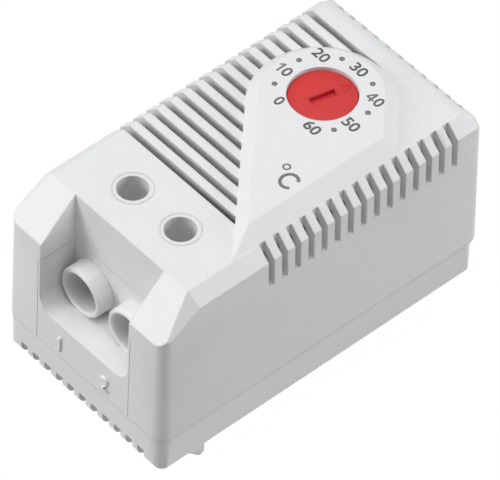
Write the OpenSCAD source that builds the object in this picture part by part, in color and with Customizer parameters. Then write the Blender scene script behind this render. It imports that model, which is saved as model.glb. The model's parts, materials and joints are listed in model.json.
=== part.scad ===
// Small enclosure thermostat with a bimetal snap contact, two clamp terminals
// and a clip for a 35 mm top-hat rail. Millimetres, +Z up, front face towards -Y.
// The origin lies under the middle of the body, level with the lowest point of the rail clip.

/* [Housing] */
// Length of the housing, front to rear
body_l = 60; // [58:0.5:70]
// Width of the housing
body_w = 33; // [32.5:0.5:40]
// Height of the cover above the joint with the base
cover_h = 25.2; // [25:0.1:30]
// Height of the base below the joint
base_h = 6.7; // [6.3:0.1:8]
// Wall thickness of the cover
wall = 1.7; // [1.4:0.1:2]
// Floor and wall thickness of the base
base_wall = 1.8; // [1.5:0.1:2]
// Radius of the upright corners
corner_r = 2.4; // [2.1:0.1:3]
// Leg of the bevel along the top edges
bevel = 2; // [1.6:0.1:2.2]
// How far the cover walls lean in from the joint to the top
cover_lean = 0.45; // [0.2:0.05:0.6]
// Run of the sloping front edge, from the front face to the top
slope_run = 6.5; // [6:0.1:7]
// Rise of the sloping front edge
slope_rise = 6.1; // [5.5:0.1:7]
// Radius of the rear top edge
rear_round = 3.4; // [3:0.1:4]
// How far the base walls stand inside the cover walls
base_inset = 0.1; // [0.05:0.05:0.3]
// How far the rear of the base stands inside the cover
base_rear_inset = 0.7; // [0.1:0.1:0.8]
// How much the base side walls lean in towards the bottom
base_draft = 0.2; // [0.1:0.05:0.4]
// Radius of the lower front and rear edges of the base
base_round = 1.8; // [1.3:0.1:2]
// Radius of the lower side edges of the base
base_side_round = 1; // [0.6:0.1:1.5]

/* [Dial field] */
// Height of the raised field round the dial
field_h = 1.9; // [1.5:0.1:2.2]
// Radius of the raised field at its foot
field_r = 10.7; // [10.3:0.1:10.9]
// Run of the field's bevelled flank
field_flank = 1.94; // [1.6:0.02:2.2]
// Run of the flank on the right-hand side
field_side_flank = 2.45; // [2:0.05:2.8]
// Gap from the field's right foot to the side face of the cover
field_side_gap = 2.6; // [2.55:0.05:2.9]

/* [Dial] */
// Distance from the rear face to the dial centre
dial_back = 16.4; // [16:0.1:17]
// Diameter of the dial
dial_d = 10; // [9:0.1:10.6]
// Depth of the dial's face below the field
dial_sink = 0.5; // [0.3:0.1:0.8]
// Thickness of the dial's disc
dial_t = 2.2; // [1.8:0.1:2.3]
// Length of the screwdriver slot
dial_slot_l = 4; // [3.4:0.1:6]
// Width of the screwdriver slot
dial_slot_w = 0.9; // [0.6:0.1:1.2]
// Depth of the screwdriver slot
dial_slot_depth = 0.9; // [0.6:0.1:1.2]
// Direction of the slot, in degrees from the right-hand side
dial_slot_angle = 76.7; // [-57:0.1:237]
// Diameter of the dial's stem
stem_d = 6; // [5.6:0.1:6.4]

/* [Vents] */
// Number of vent slots in each long side
vent_count = 15; // [12:1:15]
// Distance from one vent slot to the next
vent_pitch = 2.42; // [2.2:0.01:2.42]
// Width of a vent slot
vent_w = 1.05; // [0.8:0.05:1.3]
// Distance from the front face to the first vent slot
vent_first = 19.45; // [19:0.05:20]
// How far the slots run down the sides below the top
vent_drop = 6.9; // [5:0.1:9]
// Number of slots across the rear edge and of notches in the base
end_vent_count = 11; // [8:1:11]
// Distance from one rear slot or base notch to the next
end_vent_pitch = 2.47; // [2.2:0.01:2.5]
// Width of the notches in the base
notch_w = 1.3; // [1:0.05:1.4]
// Height of the notches in the base
notch_h = 2.6; // [2:0.05:2.8]
// How far the notches run under the base
notch_reach = 3.6; // [3:0.1:4.2]

/* [Wire entry] */
// Distance between the two terminals
pole_pitch = 9.9; // [9.8:0.1:10.2]
// Bore of a wire tube
tube_d = 6.4; // [6:0.1:6.6]
// Wall thickness of a wire tube
tube_wall = 0.8; // [0.6:0.1:0.9]
// How far the tubes stand out of the recess wall
tube_reach = 2.8; // [2:0.1:3.4]
// Height of the tube axes above the joint
entry_h = 10.35; // [10.2:0.05:10.5]
// Width of the recess for the wires
recess_w = 18.4; // [18:0.1:18.6]
// Height of the recess floor above the joint
recess_h = 6.5; // [6.3:0.05:6.6]
// Radius of the recess floor's corners
recess_r = 2.75; // [2:0.05:3.5]
// Height of the terminal housing's upper edge above the joint
seam_h = 16; // [15.5:0.1:16.5]
// Width of the terminal housing's lip beside the recess
lip_w = 0.4; // [0.3:0.05:0.6]
// Wall thickness of the terminal housing
insert_wall = 1.4; // [1.2:0.1:1.5]

/* [Terminals] */
// Distance from the front face to the screw axes
access_back = 13.2; // [13:0.1:13.5]
// Diameter of the screwdriver holes in the cover
access_d = 4.6; // [4.5:0.1:4.8]
// Diameter of a terminal screw
screw_d = 3; // [2.8:0.1:3.2]
// Diameter of a terminal screw's head
screw_head_d = 4.9; // [4.8:0.1:5.2]
// Height of a terminal screw's head
screw_head_h = 1.8; // [1.5:0.1:2]
// Width of a clamp cage
cage_w = 6.4; // [6:0.1:6.6]
// Length of a clamp cage along the wire
cage_l = 6; // [5.5:0.1:6.2]
// Height of the wire window of an open clamp
wire_room = 3.6; // [3:0.1:4]
// Wall thickness of a clamp cage
cage_wall = 1; // [0.8:0.1:1.1]
// Thickness of the threaded top of a clamp cage
cage_top = 1.8; // [1.6:0.1:2]
// How far a clamp cage rises when its screw is tightened
cage_travel = 2; // [1.5:0.1:2.1]
// Thickness of the contact tongues in the cages
tongue_t = 1; // [0.8:0.1:1.1]

/* [Contact mechanism] */
// Thickness of the contact carrier's deck
deck_t = 2.5; // [2:0.1:3]
// Height of the posts that carry the fixed contact
post_h = 6.25; // [5.9:0.05:6.5]
// Thickness of the busbars
strip_t = 0.8; // [0.6:0.1:1]
// Height of a contact's head
contact_h = 0.8; // [0.6:0.1:1]
// Diameter of a contact's head
contact_d = 3.2; // [2.6:0.1:3.6]
// Gap between the contacts
contact_gap = 0.35; // [0.3:0.05:0.6]
// Thickness of the bimetal strip
bimetal_t = 0.5; // [0.4:0.05:0.6]
// Width of the bimetal strip
bimetal_w = 7; // [6:0.1:7.4]
// Distance from the dial axis to the contacts
contact_back = 8.4; // [7.8:0.1:9]
// Thickness of the setting spring
leaf_t = 0.6; // [0.5:0.05:0.7]
// Width of the setting spring
leaf_w = 7.2; // [6.4:0.1:7.6]
// How far the setting spring steps up behind its root
leaf_rise = 2.2; // [2:0.1:2.6]
// Diameter of the adjusting screw
adjuster_d = 4; // [3.6:0.1:4.2]
// Height of the bridge above the setting spring
bridge_lift = 5; // [4.6:0.1:5.2]
// Thickness of the bridge
bridge_t = 1.5; // [1.2:0.1:1.6]

/* [Rail clip] */
// Width of the rail
rail_w = 35; // [34:0.5:36]
// Thickness of the rail's brims, with the play in the groove
brim_room = 1.2; // [1.1:0.1:1.6]
// Depth of the clip below the base
clip_h = 7.2; // [6.8:0.1:8]
// Height of the rail seats below the base
seat_h = 2.4; // [2.3:0.1:2.8]
// Width of the clip
clip_w = 25; // [23:0.5:26]
// How far the hooks reach under the rail
hook_grip = 1.1; // [0.9:0.1:1.4]
// How far the latch opens
latch_travel = 2.2; // [1.8:0.1:2.4]

/* [Hidden] */
// Smoothness of the round surfaces
$fn = 64;

// Clearances: between fixed pieces, round turning pieces, beside sliding pieces, and cut overrun
fit_gap = 0.05;
turn_gap = 0.08;
slide_gap = 0.2;
over = 0.5;

// Heights of the housing, from the foot of the rail clip upwards
z_base = clip_h;
z_joint = z_base + base_h;
z_top = z_joint + cover_h;
z_field = z_top + field_h;
z_floor = z_base + base_wall;
z_ceiling = z_top - wall;
y_front = -body_l / 2;
y_rear = body_l / 2;
lean_share = cover_lean / cover_h;
foot_lean = lean_share * (cover_h - slope_rise);
seam_lean = lean_share * seam_h;
slope_foot = slope_run - foot_lean;
slope_l = norm([slope_foot, slope_rise]);
cheek_back = 0.5;
dial_y = y_rear - dial_back;
field_x = body_w / 2 - field_side_gap;
// Round and flat faces that would only just touch are this much out of line
nip = 0.03;

// Thickness of the rim that the base puts into the cover
rim_t = 0.9;

// Wire entry: recess, insert and chambers
y_recess = y_front + slope_run;
z_recess = z_joint + recess_h;
z_seam = z_joint + seam_h;
z_wire = z_joint + entry_h;
insert_w = recess_w + 2 * lip_w;
trough_w = recess_w + 2 * insert_wall;
shroud_wall = insert_wall;
pole_x = pole_pitch / 2;
y_screw = y_front + access_back;
cage_front = y_screw - cage_l / 2;
cage_rear = y_screw + cage_l / 2;
tube_r = tube_d / 2;
tube_tail = cage_front - 0.6 * cage_wall;
chamber_gap = 0.25;
chamber_w = cage_w + 2 * chamber_gap;
chamber_wall = 1.2;
chamber_x = pole_x + chamber_w / 2 + chamber_wall;
chamber_rear_t = 0.95;
y_chamber = cage_rear + 2 * slide_gap + chamber_rear_t;

// Terminal heights: the tongue lies over the wire, the cage hangs round it
z_tongue = z_wire + wire_room / 2;
z_cage_top = z_tongue + tongue_t + 0.7 * cage_wall;
z_window = z_tongue - wire_room;
z_cage = z_window - 1.1 * cage_wall;
z_screw_tip = z_tongue + tongue_t + 2 * fit_gap;
z_head = z_cage_top + cage_top + cage_travel + 2 * fit_gap;
sleeve_wall = 0.8;
sleeve_r = screw_head_d / 2 + slide_gap + sleeve_wall;
sleeve_end = z_head + slide_gap;
sleeve_step = z_head + screw_head_h + 2 * slide_gap;

// Heights of the contact mechanism, from the deck upwards
z_deck = z_floor + deck_t;
z_strip = z_deck + post_h;
z_fixed = z_strip + strip_t + contact_h;
z_bimetal = z_fixed + contact_gap + contact_h;
flex_gap = 0.1;
z_leaf = z_bimetal + bimetal_t + flex_gap;
z_pad = z_leaf - turn_gap - strip_t;
z_tip = z_leaf + leaf_rise + leaf_t + flex_gap;
z_bridge = z_leaf + leaf_rise + leaf_t + bridge_lift;
y_riser = y_chamber + fit_gap;
y_pad = y_riser + 2 * strip_t;
pad_l = 5;
y_root = y_pad + pad_l / 2;
y_bimetal = y_pad + pad_l + 5 * flex_gap;
rivet_margin = 2.3;
y_bimetal_rivet = y_bimetal + rivet_margin;
y_step = y_bimetal_rivet + rivet_margin;
y_contact = dial_y + contact_back;
strip_end = y_contact + contact_d * 0.8;
leaf_tail = 3.4;
leaf_end = dial_y + leaf_tail;
rivet_r = 0.8;
rivet_head_r = 1.35;
rivet_head_h = 0.5;
rivet_x = 2.1;
riser_w = 2.45;
tongue_play = 0.3;
tongue_w = cage_w - 2 * (cage_wall + tongue_play);
riser_x = pole_x + tongue_w / 2 - riser_w;
run_w = 2.8;
post_w = 3.6;
magnet_w = 6;
magnet_l = 4.6;
magnet_h = 2.5;
magnet_back = 1.4;
magnet_y = dial_y + magnet_back;
magnet_gap = 0.6;
armature_t = 0.6;
z_magnet = z_bimetal - armature_t - magnet_gap - magnet_h;
leg_t = 1.2;
leg_w = 8;
ear_w = 0.6;
leg_gap = 0.6;
heel_l = 1.2;
leg_x = body_w / 2 - wall - 2 * fit_gap - rim_t - 2 * slide_gap - ear_w - leg_t;
carrier_w = 2 * (leg_x - leg_gap);
run_x = carrier_w / 2 - leg_gap;
carrier_screw_fore = 6.6;
carrier_screw_y = dial_y - carrier_screw_fore;
carrier_screw_r = 1.1;
carrier_head_r = 1.9;
carrier_head_h = 1.4;
carrier_head_gap = 0.3;
carrier_screw_x = run_x - run_w - 2 * slide_gap - carrier_head_r - carrier_head_gap;

// Dial stack, from the field downwards
z_dial = z_field - dial_sink;
z_disc = z_dial - dial_t;
z_well = z_disc - flex_gap;
stem_r = stem_d / 2;
boss_wall = 1.5;
boss_h = 2.5;
z_boss = z_ceiling - boss_h;
washer_t = 0.4;
ring_t = 0.6;
groove_depth = 0.4;
z_ring = z_boss - washer_t - ring_t - 2 * slide_gap;
stem_tail = 0.3;
z_stem = z_ring - stem_tail;
drive_w = 2.4;
bush_wall = 1;
bush_r = adjuster_d / 2 + bush_wall;
bush_flange = 0.9;

// Rail clip
z_seat = z_base - seat_h;
z_hook = z_seat - brim_room;
rail_half = rail_w / 2 + slide_gap;
rib_w = 2.6;
ledge_w = 1.2;
ledge_t = 0.9;
foot_l = 6.3;
toe_back = 1.6;
latch_front = rail_half + foot_l;
latch_tab = 3.2;
window_front = 14.7;
window_x = 7.3;
tongue_rear = 3;
tongue_x = clip_w / 2 - rib_w - slide_gap;
tongue_z = z_seat + ledge_t + slide_gap;
stop_front = window_front - slide_gap;
stop_t = 1.2;
stop_rear = stop_front - stop_t;
spring_pack = 6.1;
window_rear = stop_rear - spring_pack - latch_travel;
spring_front = stop_rear - flex_gap;
spring_rear = window_rear + flex_gap;
spring_bars = 5;
hook_out = 2.3;
boss_drop = 0.6;

// Snap joint between the base and the cover
snap_w = 6;
snap_h = 1.4;
snap_bite = 0.5;
snap_back = 13;
snap_rise = 4.4;
snap_lean = lean_share * (snap_rise + snap_h);
rim_h = 2;

// A rectangle with round corners, centred
module round_rect(w, l, r) {
    square([w - 2 * r, l], center = true);
    square([w, l - 2 * r], center = true);
    for (sx = [-1, 1], sy = [-1, 1])
        translate([sx * (w / 2 - r), sy * (l / 2 - r)])
            circle(r = r);
}

// A block given by its lower and upper corners
module block(low, high) {
    translate(low)
        cube(high - low);
}

// A profile in the Y-Z plane, extruded along X and centred
module along_x(w) {
    rotate([90, 0, 90])
        linear_extrude(w, center = true)
            children();
}

// A profile in the X-Z plane, extruded from one Y to another
module along_y(from, to) {
    translate([0, to, 0])
        rotate([90, 0, 0])
            linear_extrude(to - from)
                children();
}

// A solid that is limited by a 45 degree bevel along the right top edge, with a rounded rear end.
// It is taken in by t
module bevel_limit(t) {
    round_y = y_rear - cover_lean - corner_r + bevel * lean_share;
    r = corner_r - t;
    translate([body_w / 2 - cover_lean - bevel, 0, z_top])
        rotate([0, 45, 0])
            along_x(3 * body_w) {
                polygon([[-body_l, -t], [round_y, -t], [round_y, -corner_r], [body_l, -corner_r],
                    [body_l, -body_l], [-body_l, -body_l]]);
                translate([round_y, -corner_r])
                    circle(r = r);
            }
}

// A solid whose upright corners are cones, which follow the leaning walls
module corner_limit() {
    x = body_w / 2 - corner_r;
    y = body_l / 2 - corner_r;
    block([-x, -body_l, z_base], [x, body_l, z_field]);
    block([-body_w, -y, z_base], [body_w, y, z_field]);
    for (sx = [-1, 1], sy = [-1, 1])
        translate([sx * x, sy * y, z_joint])
            cylinder(h = cover_h, r1 = corner_r + nip, r2 = corner_r + nip - cover_lean);
}

// The facet that cuts the right end of the sloping front edge, through its foot and its head
module cheek_facet() {
    head = [body_w / 2 - cover_lean - bevel, y_front + slope_run, z_top];
    foot = [body_w / 2 - foot_lean, y_front + foot_lean, z_top - slope_rise];
    face = cross(foot - head, [bevel, cheek_back, -bevel]);
    translate(head)
        rotate([0, acos(face[2] / norm(face)), atan2(face[1], face[0])])
            block([-body_l, -body_l, 0], [body_l, body_l, body_l]);
}

// The cover's closed outer form, taken in by t on every side; it runs on below by drop
module cover_form(t, drop) {
    rear_r = rear_round - t;
    low_half = body_w / 2 - t + lean_share * drop;
    top_half = body_w / 2 - t - cover_lean;
    top = z_top - t;
    low = z_joint - drop;
    front_low = y_front + t - lean_share * drop;
    foot_y = y_front + t + foot_lean;
    foot_z = z_top - slope_rise + t * (slope_rise - slope_l) / slope_foot;
    head_y = y_front + slope_run + t * (slope_l - slope_foot) / slope_rise;
    rear_y = y_rear - t - cover_lean;
    intersection() {
        along_y(-body_l, body_l)
            polygon([[-low_half, low], [low_half, low], [top_half, top], [-top_half, top]]);
        along_x(2 * body_w) {
            polygon([[front_low, low], [y_rear - t + lean_share * drop, low], [rear_y, top - rear_r],
                [rear_y - rear_r, top], [head_y, top], [foot_y, foot_z]]);
            translate([rear_y - rear_r, top - rear_r])
                circle(r = rear_r);
        }
        bevel_limit(t);
        mirror([1, 0, 0])
            bevel_limit(t);
    }
}

// The outer form with its rounded corners and the facets of the front
module cover_shell() {
    difference() {
        intersection() {
            cover_form(0, 0);
            corner_limit();
        }
        cheek_facet();
        mirror([1, 0, 0])
            cheek_facet();
    }
}

// Slots over the left and right top edges and over the rear edge
module cover_vents() {
    z_vent = z_top - vent_drop;
    for (i = [0 : vent_count - 1]) {
        y = y_front + vent_first + i * vent_pitch;
        under_field = min(field_x, max(0, dial_y - y - field_r));
        block([-body_w, y, z_vent], [-field_x, y + vent_w, z_field]);
        block([-body_w, y, z_ceiling - over], [under_field, y + vent_w, z_field]);
        block([field_x, y, z_vent], [body_w, y + vent_w, z_field]);
    }
    for (i = [0 : end_vent_count - 1]) {
        x = (i - (end_vent_count - 1) / 2) * end_vent_pitch;
        block([x - vent_w / 2, y_rear - rear_round * 0.6, z_vent], [x + vent_w / 2, body_l, z_field]);
    }
}

// The raised field: a cone round the dial, run out towards the right front edge
module dial_field() {
    crest_r = field_r - field_flank;
    foot_x = field_r - nip;
    crest_x = crest_r - nip;
    intersection() {
        translate([0, dial_y, 0]) {
            translate([0, 0, z_ceiling])
                cylinder(h = wall, r = field_r);
            translate([0, 0, z_top])
                cylinder(h = field_h, r1 = field_r, r2 = crest_r);
            rotate([0, 0, 45])
                along_y(-body_l, 0)
                    polygon([[-foot_x, z_ceiling], [foot_x, z_ceiling], [foot_x, z_top],
                        [crest_x, z_field], [-crest_x, z_field], [-foot_x, z_top]]);
        }
        along_y(-body_l, body_l)
            polygon([[-body_w, z_ceiling], [field_x, z_ceiling], [field_x, z_top],
                [field_x - field_side_flank, z_field], [-body_w, z_field]]);
    }
}

// Upper part of the recess walls, inside the cover
module recess_shroud() {
    intersection() {
        cover_shell();
        block([-recess_w / 2 - shroud_wall, y_front, z_seam + fit_gap],
            [recess_w / 2 + shroud_wall, y_recess + wall, z_top]);
    }
}

// Pockets in the side walls that take the base's snap tabs
module snap_places() {
    for (sx = [0, 1], y = [y_front + snap_back, y_rear - snap_back])
        mirror([sx, 0, 0])
            translate([body_w / 2 - wall - snap_lean, y, z_joint + snap_rise])
                children();
}

module housing_cover() {
    color([0.84, 0.85, 0.85])
    difference() {
        union() {
            difference() {
                cover_shell();
                cover_form(wall, over);
                cover_vents();
            }
            dial_field();
            recess_shroud();
            translate([0, dial_y, z_boss])
                cylinder(h = boss_h + over, r = stem_r + boss_wall);
            for (sx = [-1, 1])
                translate([sx * pole_x, y_screw, sleeve_end])
                    cylinder(h = z_ceiling + over - sleeve_end, r = sleeve_r);
        }
        block([-recess_w / 2, -body_l, z_seam - over], [recess_w / 2, y_recess, z_field]);
        block([-insert_w / 2 - fit_gap, -body_l, z_joint - over],
            [insert_w / 2 + fit_gap, y_front + wall + over, z_seam + fit_gap]);
        translate([0, dial_y, z_well])
            cylinder(h = z_field, r = dial_d / 2 + turn_gap);
        translate([0, dial_y, z_boss - over])
            cylinder(h = z_field, r = stem_r + turn_gap);
        for (sx = [-1, 1])
            translate([sx * pole_x, y_screw, 0]) {
                translate([0, 0, sleeve_step])
                    cylinder(h = z_field, r = access_d / 2);
                translate([0, 0, sleeve_end - over])
                    cylinder(h = sleeve_step + over - sleeve_end, r = screw_head_d / 2 + slide_gap);
            }
        snap_places()
            block([-over, -snap_w / 2 - slide_gap, -slide_gap],
                [snap_bite + fit_gap, snap_w / 2 + slide_gap, snap_h + slide_gap]);
    }
}

// Two rail hooks at the rear of the clip
module rail_hook() {
    tip_y = rail_half + hook_grip;
    out_y = tip_y + hook_out;
    along_x(clip_w / 4)
        polygon([[rail_half, z_base + over], [rail_half, z_hook], [rail_half - hook_grip, z_hook],
            [tip_y, 0], [out_y, hook_grip], [out_y, z_base + over]]);
}

// A solid whose upright corners round under at the foot, for a tray of size w by l
module foot_corners(w, l) {
    x = w / 2 - corner_r;
    y = l / 2 - corner_r;
    flat_r = corner_r - base_side_round;
    edge_r = base_side_round + nip;
    block([-x, -body_l, 0], [x, body_l, z_joint + over]);
    block([-body_w, -y, 0], [body_w, y, z_joint + over]);
    for (sx = [-1, 1], sy = [-1, 1])
        translate([sx * x, sy * y, z_base + base_side_round])
            rotate_extrude() {
                square([flat_r + edge_r, base_h]);
                translate([0, -edge_r])
                    square([flat_r, base_h]);
                translate([flat_r, 0])
                    circle(r = edge_r);
            }
}

module base_plate() {
    rim_out = wall + 2 * fit_gap;
    rim_x = body_w / 2 - rim_out;
    rim_y = body_l / 2 - rim_out;
    tray_w = body_w - 2 * base_inset;
    tray_l = body_l - base_inset - base_rear_inset;
    tray_y = (base_inset - base_rear_inset) / 2;
    low_x = tray_w / 2 - base_draft;
    seat_end = rail_half - hook_grip - slide_gap;
    rib_x = (clip_w - rib_w) / 2;
    ledge_x = clip_w / 2 - rib_w - (ledge_w - fit_gap) / 2;
    tab_foot = z_floor - z_joint - snap_rise;
    tab_face = -2 * fit_gap;
    color([0.86, 0.87, 0.86])
    difference() {
        union() {
            intersection() {
                translate([0, tray_y, z_base])
                    linear_extrude(base_h)
                        round_rect(tray_w, tray_l, corner_r);
                translate([0, tray_y, 0])
                    foot_corners(tray_w, tray_l);
                translate([0, tray_y, z_joint])
                    along_x(body_w)
                        round_rect(tray_l, 2 * base_h, base_round);
                along_y(-body_l, body_l) {
                    polygon([[base_side_round - low_x, z_base], [low_x - base_side_round, z_base],
                        [low_x, z_base + base_side_round], [tray_w / 2, z_joint],
                        [-tray_w / 2, z_joint], [-low_x, z_base + base_side_round]]);
                    for (sx = [-1, 1])
                        translate([sx * (low_x - base_side_round), z_base + base_side_round])
                            circle(r = base_side_round);
                }
            }
            translate([0, 0, z_floor])
                linear_extrude(z_joint + rim_h - z_floor)
                    round_rect(2 * rim_x, 2 * rim_y, corner_r - wall);
            snap_places()
                rotate([90, 0, 0])
                    linear_extrude(snap_w, center = true)
                        polygon([[-rim_t, tab_foot], [tab_face, tab_foot], [tab_face, 0],
                            [snap_bite, 0], [tab_face, snap_h], [-rim_t, snap_h]]);
            for (sx = [-1, 1]) {
                block([sx * rib_x - rib_w / 2, -seat_end, z_seat],
                    [sx * rib_x + rib_w / 2, seat_end, z_base + over]);
                block([sx * ledge_x - ledge_w / 2, -seat_end, z_seat],
                    [sx * ledge_x + ledge_w / 2, -tongue_rear, z_seat + ledge_t]);
                translate([sx * clip_w / 4, 0, 0])
                    rail_hook();
                translate([sx * carrier_screw_x, carrier_screw_y, z_seat + boss_drop])
                    cylinder(h = seat_h, r = 2 * carrier_screw_r);
            }
            block([slide_gap - window_x, -stop_front, tongue_z],
                [window_x - slide_gap, -stop_rear, z_base + over]);
        }
        difference() {
            translate([0, 0, z_floor])
                linear_extrude(z_top)
                    round_rect(2 * (rim_x - rim_t), 2 * (rim_y - rim_t), corner_r - wall);
            snap_places()
                block([-rim_t, -snap_w / 2, tab_foot], [snap_bite, snap_w / 2, snap_h]);
        }
        for (i = [0 : end_vent_count - 1], end = [0, 1])
            mirror([0, end, 0]) {
                x = (i - (end_vent_count - 1) / 2) * end_vent_pitch;
                block([x - notch_w / 2, -body_l, z_base - over],
                    [x + notch_w / 2, y_front + notch_reach, z_base + notch_h]);
            }
        for (sx = [-1, 1])
            translate([sx * carrier_screw_x, carrier_screw_y, z_seat + 2 * boss_drop])
                cylinder(h = z_base, r = carrier_screw_r + fit_gap);
    }
}

module terminal_housing() {
    trough_low = z_recess - insert_wall;
    trough_front = y_front + wall + seam_lean + 2 * fit_gap;
    color([0.83, 0.84, 0.84])
    difference() {
        union() {
            along_x(insert_w)
                polygon([[y_front + lean_share * fit_gap, z_joint + fit_gap], [y_front + seam_lean, z_seam],
                    [trough_front + fit_gap, z_seam], [trough_front + fit_gap, trough_low],
                    [y_front + wall - 2 * fit_gap, trough_low], [y_front + wall - 2 * fit_gap,
                    z_joint + fit_gap]]);
            block([-trough_w / 2, trough_front, trough_low], [trough_w / 2, y_recess + wall, z_seam]);
            for (sx = [-1, 1])
                translate([sx * pole_x, tube_tail, z_wire])
                    rotate([90, 0, 0])
                        cylinder(h = tube_tail - y_recess, r = tube_r + tube_wall);
            difference() {
                union() {
                    block([-chamber_x, y_recess + over, z_floor + fit_gap], [chamber_x, y_chamber, z_seam]);
                    block([-chamber_x, y_recess + wall + 2 * fit_gap, z_floor + fit_gap],
                        [chamber_x, y_chamber, z_head - slide_gap]);
                }
                for (sx = [-1, 1])
                    block([sx * pole_x - chamber_w / 2, y_recess + wall, z_cage - 3 * slide_gap],
                        [sx * pole_x + chamber_w / 2, y_chamber - chamber_rear_t, z_top]);
                block([-chamber_x + chamber_wall, y_chamber - chamber_rear_t - over, z_tongue - fit_gap],
                    [chamber_x - chamber_wall, body_l, z_top]);
                block([-chamber_x + chamber_wall, y_recess, z_floor],
                    [chamber_x - chamber_wall, y_chamber - chamber_rear_t,
                    z_cage - 3 * slide_gap - chamber_wall]);
            }
        }
        along_y(-body_l, y_recess)
            translate([0, (z_recess + z_top + recess_w) / 2])
                round_rect(recess_w, z_top + recess_w - z_recess, recess_r);
        for (sx = [-1, 1])
            translate([sx * pole_x, body_l, z_wire])
                rotate([90, 0, 0])
                    translate([0, 0, body_l - tube_tail - over])
                        cylinder(h = tube_tail + over - y_front, r = tube_r);
    }
    color([0.83, 0.84, 0.84])
        wire_tubes();
}

// The two tubes that stand out of the recess wall, with rounded mouths
module wire_tubes() {
    for (sx = [-1, 1])
        translate([sx * pole_x, y_recess + over, z_wire])
            rotate([90, 0, 0])
                rotate_extrude() {
                    translate([tube_r, 0])
                        square([tube_wall, tube_reach + over - tube_wall / 2]);
                    translate([tube_r + tube_wall / 2, tube_reach + over - tube_wall / 2])
                        circle(d = tube_wall);
                }
}

module setting_dial() {
    lead = 0.2;
    color([0.80, 0.24, 0.22])
    translate([0, dial_y, 0])
    rotate([0, 0, dial_slot_angle])
    difference() {
        union() {
            translate([0, 0, z_disc])
                cylinder(h = dial_t - lead, d = dial_d);
            translate([0, 0, z_dial - lead])
                cylinder(h = lead, d1 = dial_d, d2 = dial_d - 2 * lead);
            translate([0, 0, z_stem])
                cylinder(h = z_disc + lead - z_stem, r = stem_r);
        }
        translate([0, 0, z_dial - dial_slot_depth / 2 + over / 2])
            cube([dial_slot_l, dial_slot_w, dial_slot_depth + over], center = true);
        translate([0, 0, z_ring - fit_gap])
            difference() {
                cylinder(h = ring_t + 2 * fit_gap, r = stem_r + over);
                cylinder(h = ring_t + 2 * fit_gap, r = stem_r - groove_depth);
            }
        translate([0, 0, z_stem - over])
            linear_extrude(1.5 * drive_w + over)
                square(drive_w + 2 * fit_gap, center = true);
    }
}

// Snap ring in the groove of the dial's stem
module dial_retainer() {
    ring_w = 0.9;
    color([0.72, 0.73, 0.75])
    translate([0, dial_y, z_ring])
    difference() {
        cylinder(h = ring_t, r = stem_r + ring_w);
        translate([0, 0, -over])
            cylinder(h = ring_t + 2 * over, r = stem_r - groove_depth + fit_gap);
        translate([0, stem_r, 0])
            cube([stem_r, 2 * stem_r, 2 * (ring_t + over)], center = true);
    }
}

// Friction washer between the cover's boss and the snap ring
module dial_washer() {
    color([0.78, 0.66, 0.40])
    translate([0, dial_y, z_boss - washer_t - slide_gap])
    difference() {
        cylinder(h = washer_t, r = stem_r + boss_wall - slide_gap);
        translate([0, 0, -over])
            cylinder(h = washer_t + 2 * over, r = stem_r + slide_gap);
    }
}

module adjusting_screw() {
    nose_h = 0.9;
    drive_gap = 1.6;
    shank_top = z_stem - drive_gap;
    color([0.78, 0.79, 0.80])
    translate([0, dial_y, 0])
    rotate([0, 0, dial_slot_angle]) {
        translate([0, 0, z_tip])
            cylinder(h = nose_h + fit_gap, d = adjuster_d * 0.55);
        translate([0, 0, z_tip + nose_h])
            cylinder(h = shank_top - z_tip - nose_h, d = adjuster_d);
        translate([0, 0, shank_top - fit_gap])
            linear_extrude(z_stem + drive_w - shank_top)
                square(drive_w, center = true);
    }
}

// Threaded bush pressed into the bridge
module adjusting_bush() {
    color([0.80, 0.66, 0.36])
    translate([0, dial_y, 0])
    difference() {
        union() {
            translate([0, 0, z_bridge - fit_gap - bush_flange])
                cylinder(h = bush_flange, r = bush_r + bush_flange);
            translate([0, 0, z_bridge - 2 * fit_gap])
                cylinder(h = bridge_t + bush_flange, r = bush_r);
        }
        cylinder(h = z_field, r = adjuster_d / 2 + fit_gap);
    }
}

// Bridge that holds the adjusting screw over the setting spring
module bridge() {
    shoulder = 0.6;
    color([0.70, 0.72, 0.74])
    translate([0, dial_y, 0])
    difference() {
        union() {
            block([-leg_x - leg_t, -leg_w / 2, z_bridge], [leg_x + leg_t, leg_w / 2, z_bridge + bridge_t]);
            for (sx = [-1, 1]) {
                x = sx * (leg_x + leg_t / 2);
                block([x - leg_t / 2, -leg_w / 2, z_deck + fit_gap],
                    [x + leg_t / 2, leg_w / 2, z_bridge + bridge_t / 2]);
                block([x - leg_t / 2, shoulder - leg_w / 2, z_floor + 4 * fit_gap],
                    [x + leg_t / 2, leg_w / 2 - shoulder, z_bridge]);
            }
        }
        cylinder(h = z_field, r = bush_r + fit_gap);
    }
}

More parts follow.
